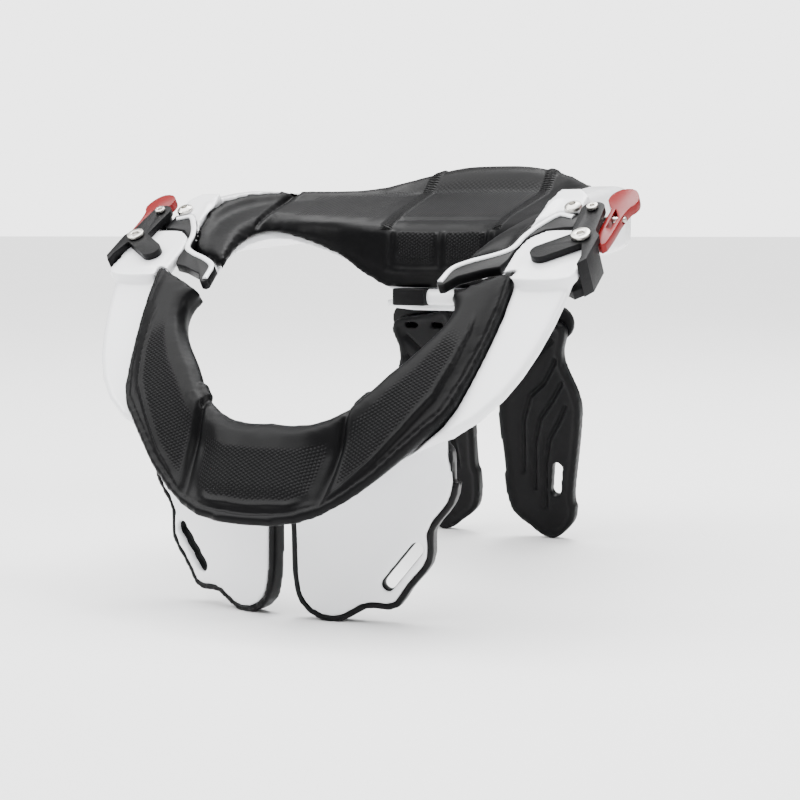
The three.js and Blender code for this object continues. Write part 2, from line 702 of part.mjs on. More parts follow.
function claspBracket() {
  let bracket = toSolid(extruded(capsule(screwPoint, pivot, linkRadius), linkBottom, linkTop));
  bracket = bracket.add(toSolid(extruded(capsule(fingerTip, screwPoint, fingerRadius), linkBottom, linkTop)));
  bracket = bracket.add(toSolid(extruded(bridgeOutline, linkBottom, linkTop)));
  bracket = bracket.add(toSolid(extruded(bridgeWall, footTop - footSheet, linkTop)));
  bracket = bracket.add(toSolid(extruded(footOutline, footTop - footSheet, footTop)));
  bracket = bracket.add(toSolid(upright(bossRadius, tongueBottom, linkBottom + 1, pivotX, pivotBehind)));
  const largeBore = upright(largeShankRadius + clearance, -20, 5, claspHalfWidth, 0);
  const smallBore = upright(smallShankRadius + clearance, -20, 5, pivotX, pivotBehind);
  const pinBore = new THREE.CylinderGeometry(leverPinRadius + clearance, leverPinRadius + clearance, 6, 12)
    .rotateZ(Math.PI / 2)
    .translate(pivotX + pivotInward + 3, leverPinPlace.y, leverPinPlace.z);
  for (const bore of [largeBore, smallBore, pinBore]) {
    bracket = bracket.subtract(toSolid(bore));
  }
  return toGeometry(bracket);
}

// Release lever: a thumb tab with a triangular hole that its pin crosses
const leverTop = linkBottom - 0.5;
const leverPinPlace = new THREE.Vector3(pivotX, pivotBehind, leverTop - leverThickness / 2);
const leverOutline = softOutline([
  [claspHalfWidth + 0.5, 33.5], [claspHalfWidth + 1, 38.5], [claspHalfWidth + 4.5, 42.2],
  [claspHalfWidth + 10, 42], [claspHalfWidth + 13.5, 37], [claspHalfWidth + 14.4, 31],
  [claspHalfWidth + 12.4, 27.5], [claspHalfWidth + 11, 20], [claspHalfWidth + 10.4, 6],
  [claspHalfWidth + 9.2, -0.8], [claspHalfWidth + 7, -0.8], [claspHalfWidth + 4.2, 8],
  [claspHalfWidth + 4, 18], [claspHalfWidth + 4, 27], [claspHalfWidth + 2.6, 29.5],
], 40);
const leverHole = outline([
  [claspHalfWidth + 6.2, 26.5], [claspHalfWidth + 9.2, 20], [claspHalfWidth + 8.6, 12],
  [claspHalfWidth + 6.2, 12],
]);

function releaseLever() {
  const plate = toSolid(extruded(leverOutline, leverTop - leverThickness, leverTop));
  const hole = toSolid(extruded(leverHole, leverTop - leverThickness - 1, leverTop + 1));
  const bore = new THREE.CylinderGeometry(leverBoreRadius, leverBoreRadius, 30, 12)
    .rotateZ(Math.PI / 2)
    .translate(claspHalfWidth + 10, leverPinPlace.y, leverPinPlace.z);
  return toGeometry(plate.subtract(hole).subtract(toSolid(bore)));
}

function leverPin() {
  const start = pivotX + 2.2;
  const end = claspHalfWidth + 12;
  return new THREE.CylinderGeometry(leverPinRadius, leverPinRadius, end - start, 12)
    .rotateZ(Math.PI / 2)
    .translate((start + end) / 2, leverPinPlace.y, leverPinPlace.z);
}

function screw(headRadius, shankRadius, x, y, underHead, depth) {
  const head = toSolid(upright(headRadius, underHead, underHead + screwHeadHeight, x, y, 18));
  const shank = toSolid(upright(shankRadius, underHead - depth, underHead + 0.5, x, y, 12));
  const socket = toSolid(upright(headRadius * 0.45, underHead + 0.5, underHead + 5, x, y, 6));
  return toGeometry(head.add(shank).subtract(socket));
}

function domeScrew() {
  const x = claspHalfWidth - 12.8;
  const y = 25.9;
  const foot = shoulderTop + clearance;
  const profile = [new THREE.Vector2(0, 0), new THREE.Vector2(domeScrewRadius, 0)];
  for (let step = 1; step <= 4; step += 1) {
    const angle = (step / 4) * Math.PI / 2;
    profile.push(new THREE.Vector2(domeScrewRadius * Math.cos(angle), 0.4 + 1.9 * Math.sin(angle)));
  }
  profile[profile.length - 1].x = 0;
  const head = toSolid(new THREE.LatheGeometry(profile, 18).rotateX(Math.PI / 2).translate(x, y, foot));
  const socket = toSolid(upright(domeScrewRadius * 0.42, foot + 1.1, foot + 5, x, y, 6));
  return toGeometry(head.subtract(socket));
}

// Back wing outline: shares of the wing's outermost place and height
const wingOutline = softOutline([
  [0.26, 0.985], [0.50, 0.985], [0.84, 0.960], [0.92, 0.91], [0.87, 0.80], [1.00, 0.63],
  [0.985, 0.50], [0.86, 0.21], [0.87, 0.14], [0.82, 0.070], [0.64, 0.001], [0.50, 0.010],
  [0.40, 0.040], [0.19, 0.12], [0.14, 0.26], [0.165, 0.32], [0.145, 0.52], [0.185, 0.70],
].map(([x, s]) => [x * wingHalfWidth, s * wingHeight]), 46);
const wingSlot = capsule(
  new THREE.Vector2(0.68 * wingHalfWidth, 0.215 * wingHeight),
  new THREE.Vector2(0.72 * wingHalfWidth, 0.325 * wingHeight), wingSlotWidth / 2);
const wingGrooves = [
  { fromX: 0.70, fromS: 0.84, toX: 0.30, toS: 0.62 },
  { fromX: 0.74, fromS: 0.70, toX: 0.30, toS: 0.47 },
  { fromX: 0.72, fromS: 0.55, toX: 0.32, toS: 0.33 },
];
const wingWindows = [0.42, 0.70];

const wingPlace = new THREE.Matrix4().makeTranslation(0, wingFoot, 0)
  .multiply(new THREE.Matrix4().makeRotationX(Math.PI / 2 + wingLean));

function wing() {
  let plate = toSolid(extruded(wingOutline, -wingThickness, 0));
  plate = plate.subtract(toSolid(extruded(wingSlot, -wingThickness - 1, 1)));
  for (const groove of wingGrooves) {
    const shape = capsule(
      new THREE.Vector2(groove.fromX * wingHalfWidth, groove.fromS * wingHeight),
      new THREE.Vector2(groove.toX * wingHalfWidth, groove.toS * wingHeight), grooveWidth / 2);
    plate = plate.subtract(toSolid(extruded(shape, -grooveDepth, 1)));
  }
  for (const share of wingWindows) {
    const middle = share * wingHalfWidth;
    const shape = capsule(
      new THREE.Vector2(middle - 2.2, 0.935 * wingHeight),
      new THREE.Vector2(middle + 2.2, 0.935 * wingHeight), 1.5);
    plate = plate.subtract(toSolid(extruded(shape, -wingThickness - 1, 1)));
  }
  return moved(toGeometry(plate), wingPlace);
}

// Strut roller under the rear pad's lip, on stubs in a bracket at each end
function strutRoller() {
  const reach = rollerHalfLength + stubLength;
  const profile = [
    [0, -reach], [stubRadius, -reach], [stubRadius, -rollerHalfLength],
    [tubeRadius, -rollerHalfLength], [tubeRadius, rollerHalfLength],
    [stubRadius, rollerHalfLength], [stubRadius, reach], [0, reach],
  ].map(([radius, along]) => new THREE.Vector2(radius, along));
  return toSolid(new THREE.LatheGeometry(profile, 20).rotateZ(Math.PI / 2).translate(0, tubeY, tubeZ));
}

function strutBracket() {
  const start = rollerHalfLength + clearance;
  const block = toSolid(new THREE.BoxGeometry(bracketLength, bracketDepth, tubeRadius * 2 + 0.2)
    .translate(start + bracketLength / 2, tubeY, tubeZ));
  const boreRadius = stubRadius + clearance;
  const bore = toSolid(new THREE.CylinderGeometry(boreRadius, boreRadius, stubLength * 2, 20)
    .rotateZ(Math.PI / 2)
    .translate(start + clearance, tubeY, tubeZ));
  return toGeometry(block.subtract(bore));
}

addPiece(frontPlane, 'front_pad', frontPadSolid, blackFoam);
addPiece(frontPlane, 'front_frame', frontFrame(), whitePlastic);
addPair(rearHalf, 'chest_pad', chestPad(), darkNylon);
addPiece(rearHalf, 'rear_pad', rearPad(), blackFoam);
addPiece(rearHalf, 'rear_frame', rearFrame(), whitePlastic);
addPair(rearHalf, 'back_wing', wing(), darkNylon);
addPair(rearHalf, 'strut_bracket', strutBracket(), darkNylon);
addPiece(rearHalf, 'strut_roller', strutRoller(), whitePlastic);
addPair(claspPlane, 'bumper', extruded(bumperOutline, tongueBottom, tongueTop), darkNylon);
addPair(claspPlane, 'clasp_bracket', claspBracket(), darkNylon);
addPair(claspPlane, 'release_lever', releaseLever(), redPlastic);
addPair(claspPlane, 'lever_pin', leverPin(), steel);
addPair(claspPlane, 'large_screw',
  screw(largeScrewRadius, largeShankRadius, claspHalfWidth, 0, linkTop + clearance, shankDepth), steel);
addPair(claspPlane, 'small_screw',
  screw(smallScrewRadius, smallShankRadius, pivotX, pivotBehind, linkTop + clearance, shankDepth), steel);
addPair(claspPlane, 'dome_screw', domeScrew(), steel);

brace.updateMatrixWorld(true);
const extent = new THREE.Box3().setFromObject(brace, true);
const centre = extent.getCenter(new THREE.Vector3());
brace.position.set(-centre.x, -centre.y, -extent.min.z);

export default brace;
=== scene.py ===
# A motocross neck brace: foam collar pads on white arms, chest lobes, back wings and red clasp levers.
import math
import bpy
import numpy as np
from mathutils import Matrix, Vector
from mathutils.kdtree import KDTree


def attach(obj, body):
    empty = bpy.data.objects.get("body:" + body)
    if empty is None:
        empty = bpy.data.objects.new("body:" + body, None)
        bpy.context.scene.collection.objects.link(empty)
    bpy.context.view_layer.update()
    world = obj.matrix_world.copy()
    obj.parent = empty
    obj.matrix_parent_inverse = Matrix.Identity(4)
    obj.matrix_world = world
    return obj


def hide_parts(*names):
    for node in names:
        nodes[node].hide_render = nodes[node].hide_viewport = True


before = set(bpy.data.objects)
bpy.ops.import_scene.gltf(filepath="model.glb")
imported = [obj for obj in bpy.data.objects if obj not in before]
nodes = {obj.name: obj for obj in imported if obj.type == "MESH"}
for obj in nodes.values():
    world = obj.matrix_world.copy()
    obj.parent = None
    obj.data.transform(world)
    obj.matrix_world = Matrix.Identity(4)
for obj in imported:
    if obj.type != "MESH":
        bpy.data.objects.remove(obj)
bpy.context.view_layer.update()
mm = 0.001
sideSigns = {"right": 1, "left": -1}


# Selection and modifiers

def clearSelection():
    for thing in bpy.context.selected_objects:
        thing.select_set(False)


def makeActive(piece):
    clearSelection()
    piece.select_set(True)
    bpy.context.view_layer.objects.active = piece


def applied(piece, kind, **settings):
    makeActive(piece)
    modifier = piece.modifiers.new(kind.lower(), kind)
    for key, value in settings.items():
        setattr(modifier, key, value)
    bpy.ops.object.modifier_apply(modifier=modifier.name)


def editAll(piece, *steps):
    makeActive(piece)
    bpy.ops.object.mode_set(mode="EDIT")
    bpy.ops.mesh.select_all(action="SELECT")
    for step, settings in steps:
        step(**settings)
    bpy.ops.object.mode_set(mode="OBJECT")


def copyOf(nodeName, pieceName):  # a merged copy of a CAD node's mesh
    piece = bpy.data.objects.new(pieceName, nodes[nodeName].data.copy())
    bpy.context.scene.collection.objects.link(piece)
    piece.data.materials.clear()
    editAll(piece, (bpy.ops.mesh.remove_doubles, {"threshold": 0.00002}))
    return piece


def positions(piece):
    flat = np.zeros(len(piece.data.vertices) * 3)
    piece.data.vertices.foreach_get("co", flat)
    return flat.reshape(-1, 3)


def setPositions(piece, points):
    piece.data.vertices.foreach_set("co", points.astype(np.float32).ravel())
    piece.data.update()


def vertexNormals(piece):
    flat = np.zeros(len(piece.data.vertices) * 3)
    piece.data.vertex_normals.foreach_get("vector", flat)
    return flat.reshape(-1, 3)


def smoothShade(piece, angle=None):
    makeActive(piece)
    if angle is None:
        bpy.ops.object.shade_smooth()
    else:
        bpy.ops.object.shade_smooth_by_angle(angle=math.radians(angle))


def settle(piece, body, slotName, finish, *replaced):
    piece.data.materials.clear()
    piece.data.materials.append(finish.material)
    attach(piece, body)
    if replaced:
        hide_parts(*replaced)


# Materials

class Wire:  # one node's output, with the arithmetic that joins it to others
    def __init__(self, finish, socket):
        self.finish = finish
        self.socket = socket

    def maths(self, operation, *values):
        return self.finish.node("ShaderNodeMath", {"operation": operation}, values)

    def __add__(self, other):
        return self.maths("ADD", self, other)

    def __radd__(self, other):
        return self.maths("ADD", other, self)

    def __sub__(self, other):
        return self.maths("SUBTRACT", self, other)

    def __mul__(self, other):
        return self.maths("MULTIPLY", self, other)

    def cosine(self):
        return self.maths("COSINE", self)


class Finish:  # one material and its nodes
    def __init__(self, name, **fixed):
        self.material = bpy.data.materials.new(name)
        self.material.use_nodes = True
        self.tree = self.material.node_tree
        self.shader = self.tree.nodes["Principled BSDF"]
        for key, value in fixed.items():
            self.shader.inputs[key.replace("_", " ")].default_value = value
        self.place = self.node("ShaderNodeTexCoord", {}, {}, "Object")

    def node(self, kind, settings, values, output=0):
        made = self.tree.nodes.new(kind)
        for key, value in settings.items():
            setattr(made, key, value)
        pairs = values.items() if isinstance(values, dict) else enumerate(values)
        for key, value in pairs:
            if isinstance(value, Wire):
                self.tree.links.new(value.socket, made.inputs[key])
            else:
                made.inputs[key].default_value = value
        return Wire(self, made.outputs[output])

    def noise(self, scale, detail=3, roughness=0.55):
        return self.node("ShaderNodeTexNoise", {}, {
            "Vector": self.place, "Scale": scale, "Detail": detail, "Roughness": roughness}, "Fac")

    def mask(self, attribute):
        return self.node("ShaderNodeAttribute", {"attribute_name": attribute}, {}, "Fac")

    def colour(self, factor, first, second):
        return self.node("ShaderNodeMix", {"data_type": "RGBA"}, {0: factor, 6: first, 7: second}, 2)

    def feed(self, **wires):
        for key, wire in wires.items():
            self.tree.links.new(wire.socket, self.shader.inputs[key.replace("_", " ")])

    def bump(self, height, distance):
        self.feed(Normal=self.node("ShaderNodeBump", {}, {
            "Height": height, "Distance": distance, "Strength": 1.0}, "Normal"))


foamLook = {
    "dark": (0.0011, 0.0011, 0.0013, 1), "light": (0.003, 0.003, 0.0034, 1), "shine": 0.09,
    "cloudScale": 22, "grainScale": 1400, "roughness": 0.34, "cloudRoughness": 0.12, "dotRoughness": 0.14,
    "dotPitch": 1.4, "dotSlant": (0.5, 0.87), "ribPitch": 1.2,
    "dotHeight": 0.5, "ribHeight": 0.6, "grainHeight": 0.07, "relief": 0.0006,
}


def makeFoam():
    look = foamLook
    made = Finish("blackFoam", Specular_IOR_Level=look["shine"])
    cloud = made.noise(look["cloudScale"])
    grain = made.noise(look["grainScale"], 2)
    dots = made.mask("dimple")
    ribs = made.mask("rib")
    layout = made.node("ShaderNodeUVMap", {"uv_map": "pattern"}, {})
    across = made.node("ShaderNodeSeparateXYZ", {}, [layout], "X")
    along = made.node("ShaderNodeSeparateXYZ", {}, [layout], "Y")
    turns = math.tau / look["dotPitch"]
    slantAcross, slantAlong = look["dotSlant"]
    first = (across * (turns * slantAcross) + along * (turns * slantAlong)).cosine()
    second = (across * (turns * slantAcross) - along * (turns * slantAlong)).cosine()
    third = (across * turns).cosine()
    pattern = (first + second + third) * 0.33 * dots
    stripes = (along * (math.tau / look["ribPitch"])).cosine() * ribs
    made.feed(
        Base_Color=made.colour(cloud, look["dark"], look["light"]),
        Roughness=look["roughness"] + cloud * look["cloudRoughness"] + dots * look["dotRoughness"])
    made.bump(pattern * look["dotHeight"] + stripes * look["ribHeight"] + grain * look["grainHeight"],
              look["relief"])
    return made


plainLook = {"cloudScale": 30, "wearScale": 240, "wearRoughness": 0.7}


def makePlain(name, dark, light, roughness, spread, grainScale, grainDepth, **fixed):
    plain = Finish(name, **fixed)
    cloud = plain.noise(plainLook["cloudScale"], 4)
    grain = plain.noise(grainScale, 3)
    wear = plain.noise(plainLook["wearScale"], 5, plainLook["wearRoughness"])
    plain.feed(
        Base_Color=plain.colour(cloud, dark, light),
        Roughness=roughness + (cloud - 0.5) * spread + (wear - 0.5) * (spread * 0.5))
    plain.bump(grain, grainDepth)
    return plain


foam = makeFoam()
white = makePlain(
    "whitePlastic", (0.80, 0.81, 0.83, 1), (0.86, 0.865, 0.88, 1), roughness=0.24, spread=0.10,
    grainScale=420, grainDepth=0.00003, Coat_Weight=0.25, Coat_Roughness=0.12)
nylon = makePlain(
    "darkNylon", (0.0018, 0.0018, 0.0021, 1), (0.0045, 0.0045, 0.005, 1), roughness=0.42, spread=0.16,
    grainScale=1500, grainDepth=0.00012, Specular_IOR_Level=0.11)
rubber = makePlain(
    "blackRubber", (0.0012, 0.0012, 0.0015, 1), (0.0035, 0.0035, 0.004, 1), roughness=0.38, spread=0.14,
    grainScale=1100, grainDepth=0.00007, Specular_IOR_Level=0.14)
red = makePlain(
    "redPlastic", (0.15, 0.0001, 0.0006, 1), (0.18, 0.0002, 0.001, 1), roughness=0.30, spread=0.10,
    grainScale=500, grainDepth=0.00003, Specular_IOR_Level=0.2)
steel = makePlain(
    "steel", (0.46, 0.45, 0.42, 1), (0.62, 0.60, 0.56, 1), roughness=0.30, spread=0.18,
    grainScale=900, grainDepth=0.00003, Metallic=1.0)
print("materials made")


# The two pads' shapes, as rows of plan places, so that details follow the pads

shift = np.array([0, -56.535, 0.128])
collar = {"halfWidth": 92, "length": 127, "lip": -58, "tilt": 51, "foot": (-43.832, 95.014)}
collarRows = np.array([  # inner x, inner v, outer x, outer v, inner height, outer height, dip
    [0.000, 0.374, 0.000, 0.000, 1.0, -5.0, 0.0],
    [0.170, 0.372, 0.220, 0.014, 1.0, -5.0, 0.0],
    [0.320, 0.417, 0.400, 0.075, 0.5, -5.5, 3.0],
    [0.430, 0.488, 0.590, 0.189, 1.5, -3.0, 1.5],
    [0.510, 0.575, 0.745, 0.315, 2.0, -0.5, 0.0],
    [0.592, 0.646, 0.864, 0.417, 2.2, 1.0, 0.0],
    [0.668, 0.717, 0.918, 0.551, 2.4, 1.6, 0.0],
    [0.722, 0.787, 0.957, 0.701, 2.6, 2.0, 0.0],
    [0.730, 0.850, 0.984, 0.850, 2.6, 2.4, 0.0],
    [0.690, 0.890, 0.990, 1.000, 2.2, 2.6, 0.0],
])
neck = {"halfWidth": 91, "length": 72, "back": 112, "lip": 136, "table": 199}
neckRows = np.array([  # inner x, inner y, lip, crest, outer x, outer y, table, rim, base
    [0.000, 0.000, 0.0, -33.0, 0.000, 0.990, -15.0, 0.0, -21.0],
    [0.200, 0.000, 0.0, -33.0, 0.220, 1.000, -15.0, -0.5, -21.0],
    [0.375, -0.055, 1.5, -32.0, 0.420, 1.000, -16.0, -4.0, -23.0],
    [0.550, -0.208, 16.0, -30.0, 0.640, 0.780, -17.0, -11.0, -27.0],
    [0.680, -0.417, 24.0, -29.0, 0.790, 0.470, -18.0, -13.0, -29.0],
    [0.747, -0.640, 28.0, -29.0, 0.900, 0.080, -19.0, -13.0, -29.0],
    [0.758, -0.860, 27.0, -31.0, 0.967, -0.330, -21.0, -14.0, -30.0],
    [0.747, -1.055, 23.0, -34.0, 1.000, -0.720, -25.0, -17.0, -33.0],
    [0.714, -1.264, 17.5, -39.0, 0.985, -1.060, -32.0, -25.0, -38.0],
    [0.681, -1.430, 11.0, -45.0, 0.912, -1.320, -42.5, -39.5, -47.0],
])
rowCount = 9


def rowValue(rows, column, row):
    return np.interp(row, range(len(rows)), rows[:, column])


def collarPoint(row, share):  # row from -9 to 9 round the collar, share from hole to outer edge
    place = abs(row)
    x = rowValue(collarRows, 0, place) * (1 - share) + rowValue(collarRows, 2, place) * share
    v = rowValue(collarRows, 1, place) * (1 - share) + rowValue(collarRows, 3, place) * share
    height = rowValue(collarRows, 4, place) * (1 - share) + rowValue(collarRows, 5, place) * share
    height = height - rowValue(collarRows, 6, place)
    v = v * collar["length"] + collar["lip"]
    tilt = math.radians(collar["tilt"])
    point = np.array([
        x * collar["halfWidth"] * (-1 if row < 0 else 1),
        collar["foot"][0] + v * math.cos(tilt) - height * math.sin(tilt),
        collar["foot"][1] + v * math.sin(tilt) + height * math.cos(tilt)])
    return (point + shift) * mm


def onCollar(points):  # each place's way up the collar's slope, and its height over it, in metres
    tilt = math.radians(collar["tilt"])
    offsets = points - (np.array([0, *collar["foot"]]) + shift) * mm
    return offsets @ np.array([0, math.cos(tilt), math.sin(tilt)]), \
        offsets @ np.array([0, -math.sin(tilt), math.cos(tilt)])


# Level 0 is at the lip, 3 at the crest, 5 at the table's edge, 7 at the rim and 8 below it
def neckPoint(row, level):
    place = abs(row)
    lip = neck["lip"] + rowValue(neckRows, 2, place)
    crest, table, rim, base = (neck["table"] + rowValue(neckRows, column, place) for column in (3, 6, 7, 8))
    shares = [0.01, -0.015, 0, 0.045, 0.25, 0.74, 0.86, 0.94, 1.01]
    heights = [lip, lip + (crest - lip) * 0.3, crest - 3.64, crest, crest * 0.65 + table * 0.35,
               table, table * 0.25 + rim * 0.75, rim, base]
    share = np.interp(level, range(9), shares)
    x = rowValue(neckRows, 0, place) * (1 - share) + rowValue(neckRows, 4, place) * share
    y = rowValue(neckRows, 1, place) * (1 - share) + rowValue(neckRows, 5, place) * share
    point = np.array([
        x * neck["halfWidth"] * (-1 if row < 0 else 1),
        y * neck["length"] + neck["back"],
        np.interp(level, range(9), heights)])
    return (point + shift) * mm


def relaxed(piece, values, rounds):  # evens out a value over a mesh, along its edges
    edges = np.zeros(len(piece.data.edges) * 2, np.int64)
    piece.data.edges.foreach_get("vertices", edges)
    first, second = edges.reshape(-1, 2).T
    count = len(piece.data.vertices)
    degree = np.bincount(first, minlength=count) + np.bincount(second, minlength=count)
    for _ in range(rounds):
        total = np.bincount(first, values[second], count) + np.bincount(second, values[first], count)
        values = values * 0.4 + 0.6 * total / np.maximum(degree, 1)
    return values


placing = {"rows": 217, "near": 5, "softness": 0.0004, "rounds": 6}


def padPlaces(piece, pointAt, levels):  # each vertex's row and level on the pad
    rows = np.linspace(-rowCount, rowCount, placing["rows"])
    keys = [(row, level) for row in rows for level in levels]
    tree = KDTree(len(keys))
    for number, (row, level) in enumerate(keys):
        tree.insert(pointAt(row, level), number)
    tree.balance()
    keys = np.array(keys)
    places = []
    for point in positions(piece):
        near = tree.find_n(point, placing["near"])
        share = np.array([1 / (distance + placing["softness"]) ** 2 for _, _, distance in near])
        places.append(share @ keys[[number for _, number, _ in near]] / share.sum())
    places = np.array(places)
    return [relaxed(piece, places[:, column], placing["rounds"]) for column in (0, 1)]


def ease(low, high, value):
    share = np.clip((value - low) / (high - low), 0, 1)
    return share * share * (3 - 2 * share)


def window(low, high, blur, value):
    return ease(low - blur, low + blur, value) * (1 - ease(high - blur, high + blur, value))


def ridge(middle, width, value):
    return np.exp(-((value - middle) / width) ** 2)


cloth = {"pressure": 4, "quality": 3, "frames": 20}


def swell(piece, cap, weights):  # a short cloth simulation, whose movement is capped
    rest = positions(piece)
    makeActive(piece)
    modifier = piece.modifiers.new("swell", "CLOTH")
    modifier.settings.quality = cloth["quality"]
    modifier.settings.use_pressure = True
    modifier.settings.uniform_pressure_force = cloth["pressure"]
    modifier.settings.effector_weights.gravity = 0
    modifier.point_cache.frame_start = 1
    modifier.point_cache.frame_end = cloth["frames"]
    for step in range(1, cloth["frames"] + 1):
        bpy.context.scene.frame_set(step)
    bpy.ops.object.modifier_apply(modifier=modifier.name)
    bpy.context.scene.frame_set(1)
    move = positions(piece) - rest
    reach = np.linalg.norm(move, axis=1, keepdims=True)
    move *= np.minimum(1, cap / np.maximum(reach, 1e-9)) * weights[:, None]
    setPositions(piece, rest + move)


def addPattern(piece, layout, **masks):  # the pattern's own UV map, and where each texture lies
    for name, values in masks.items():
        attribute = piece.data.attributes.new(name, "FLOAT", "POINT")
        attribute.data.foreach_set("value", values.astype(np.float32))
    corners = np.zeros(len(piece.data.loops), np.int32)
    piece.data.loops.foreach_get("vertex_index", corners)
    layer = piece.data.uv_layers.get("pattern") or piece.data.uv_layers.new(name="pattern")
    layer.data.foreach_set("uv", layout[corners].astype(np.float32).ravel())


# Front pad

frontPadLook = {
    "voxel": 0.0017, "rounds": 8, "levels": 41, "cap": 0.0007, "clothFrom": -0.006, "clothTo": -0.001,
    "topFrom": -8, "topTo": -5, "sideRise": 1.3, "rimBump": 1.6,
    "valley": 1.7, "valleyWidth": 0.13, "valleyPlace": 2.6, "valleySlant": 0.9,
    "border": 1.0, "borderWidth": 0.022, "borderPlace": 0.88, "borderSlant": 0.055, "borderStart": 2.1,
    "crescent": 1.1, "crescentWidth": 0.035, "crescentPlace": 0.83,
    "edgeGroove": 0.8, "edgeGrooveWidth": 0.018, "edgeGroovePlace": 0.905,
}


def makeFrontPad():
    look = frontPadLook
    pad = copyOf("front_pad", "frontPad")
    applied(pad, "REMESH", mode="VOXEL", voxel_size=look["voxel"])
    _, height = onCollar(positions(pad))
    swell(pad, look["cap"], ease(look["clothFrom"], look["clothTo"], height))
    applied(pad, "SUBSURF", levels=1, render_levels=1)
    applied(pad, "SMOOTH", factor=0.5, iterations=look["rounds"])
    points = positions(pad)
    row, share = padPlaces(pad, collarPoint, np.linspace(0, 1, look["levels"]))
    place = abs(row)
    along, height = onCollar(points)
    top = ease(look["topFrom"], look["topTo"], height / mm)
    valley = look["valleyPlace"] - look["valleySlant"] * share
    lower = look["borderPlace"] - look["borderSlant"] * (place - look["borderStart"])
    inPanel = window(0.10, 0.86, 0.05, share)
    push = -look["valley"] * ridge(valley, look["valleyWidth"], place) * window(0.06, 0.90, 0.04, share)
    push += look["sideRise"] * ease(valley, valley + 0.22, place) * (1 - ease(5.5, 8, place)) * inPanel \
        * (1 - ease(lower - 0.02, lower + 0.05, share))
    push += look["border"] * ridge(lower, look["borderWidth"], share) * window(1.95, 7.4, 0.3, place)
    push += look["crescent"] * ridge(look["crescentPlace"], look["crescentWidth"], share) \
        * window(-1.25, 1.25, 0.25, row)
    push -= look["edgeGroove"] * ridge(look["edgeGroovePlace"], look["edgeGrooveWidth"], share)
    push += look["rimBump"] * window(2.6, 3.25, 0.12, place) * (1 - ease(0.02, 0.10, share))
    sidePanel = ease(valley + 0.2, valley + 0.45, place) * (1 - ease(6.0, 7.0, place)) \
        * window(0.30, 2, 0.05, share) * (1 - ease(lower - 0.10, lower - 0.05, share))
    centrePanel = (1 - ease(valley - 0.6, valley - 0.35, place)) * window(0.32, 0.76, 0.04, share)
    setPositions(pad, points + vertexNormals(pad) * (push * top * mm)[:, None])
    addPattern(pad, np.stack([points[:, 0], along], 1) / mm,
               dimple=np.clip(sidePanel + centrePanel, 0, 1) * top, rib=np.zeros(len(points)))
    smoothShade(pad)
    settle(pad, "front_half", "black_foam", foam, "front_pad")
    return pad


frontPad = makeFrontPad()
print("front pad", len(frontPad.data.polygons))


# Rear pad

rearPadLook = {
    "voxel": 0.0018, "rounds": 8, "levels": 81, "cap": 0.0007,
    "neckBump": 1.9, "neckBumpFrom": 3.5, "neckBumpTo": 23.5, "post": 1.1, "postPlace": 27.5,
    "lipRoll": 1.3, "valley": 2.2, "valleyWidth": 0.12, "valleyPlace": 6.0, "valleySlant": 0.8,
    "band": 0.9, "bandPlace": 1.8, "bandSlant": 0.12, "bandHalf": 0.14, "tableEdge": 0.9,
    "tableDots": 0.35, "sideDots": 0.5,
}


def makeRearPad():
    look = rearPadLook
    pad = copyOf("rear_pad", "rearPad")
    applied(pad, "REMESH", mode="VOXEL", voxel_size=look["voxel"])
    levels = np.linspace(0, 8, look["levels"])
    _, level = padPlaces(pad, neckPoint, levels)
    swell(pad, look["cap"], window(1.5, 7, 0.5, level))
    applied(pad, "SUBSURF", levels=1, render_levels=1)
    applied(pad, "SMOOTH", factor=0.5, iterations=look["rounds"])
    points = positions(pad)
    normals = vertexNormals(pad)
    row, level = padPlaces(pad, neckPoint, levels)
    place = abs(row)
    side = abs(points[:, 0]) / mm
    seen = np.maximum(ease(-0.1, 0.3, normals[:, 2]), ease(0.2, 0.5, -normals[:, 1]))
    bump = window(look["neckBumpFrom"], look["neckBumpTo"], 1.4, side) * window(1.25, 2.35, 0.14, level)
    post = (ridge(0, 1.3, side) + ridge(look["postPlace"], 1.5, side)) * window(1.1, 2.5, 0.15, level)
    valley = look["valleyPlace"] - look["valleySlant"] * ease(3, 6, level)
    bandPlace = look["bandPlace"] - look["bandSlant"] * ease(5, 7.5, level)
    band = window(-look["bandHalf"], look["bandHalf"], 0.05, place - bandPlace) \
        * window(2.6, 7.4, 0.15, level)
    push = look["neckBump"] * bump + look["post"] * post
    push += look["lipRoll"] * ridge(0.9, 0.16, level) * window(-29, 29, 3, points[:, 0] / mm)
    push -= look["valley"] * ridge(valley, look["valleyWidth"], place) * ease(2, 3, level)
    push += look["band"] * band
    push -= look["tableEdge"] * ridge(3.6, 0.15, level) * window(-1.6, 1.6, 0.1, row)
    setPositions(pad, points + normals * (push * seen * mm)[:, None])
    wall = 1 - ease(2.4, 3, level)
    depth = np.where(wall > 0.5, points[:, 2], points[:, 1])
    soft = window(-1.6, 1.6, 0.1, row) * window(3.9, 5.6, 0.2, level) * look["tableDots"]
    sidePanel = window(2.3, 4.6, 0.2, place) * window(3.6, 5.4, 0.2, level) * look["sideDots"]
    addPattern(pad, np.stack([points[:, 0], depth], 1) / mm,
               dimple=np.clip(bump + soft + sidePanel, 0, 1) * seen, rib=band * seen)
    smoothShade(pad)
    settle(pad, "rear_half", "black_foam", foam, "rear_pad")
    return pad


rearPad = makeRearPad()
print("rear pad", len(rearPad.data.polygons))


# White frames and the black pads behind the lobes

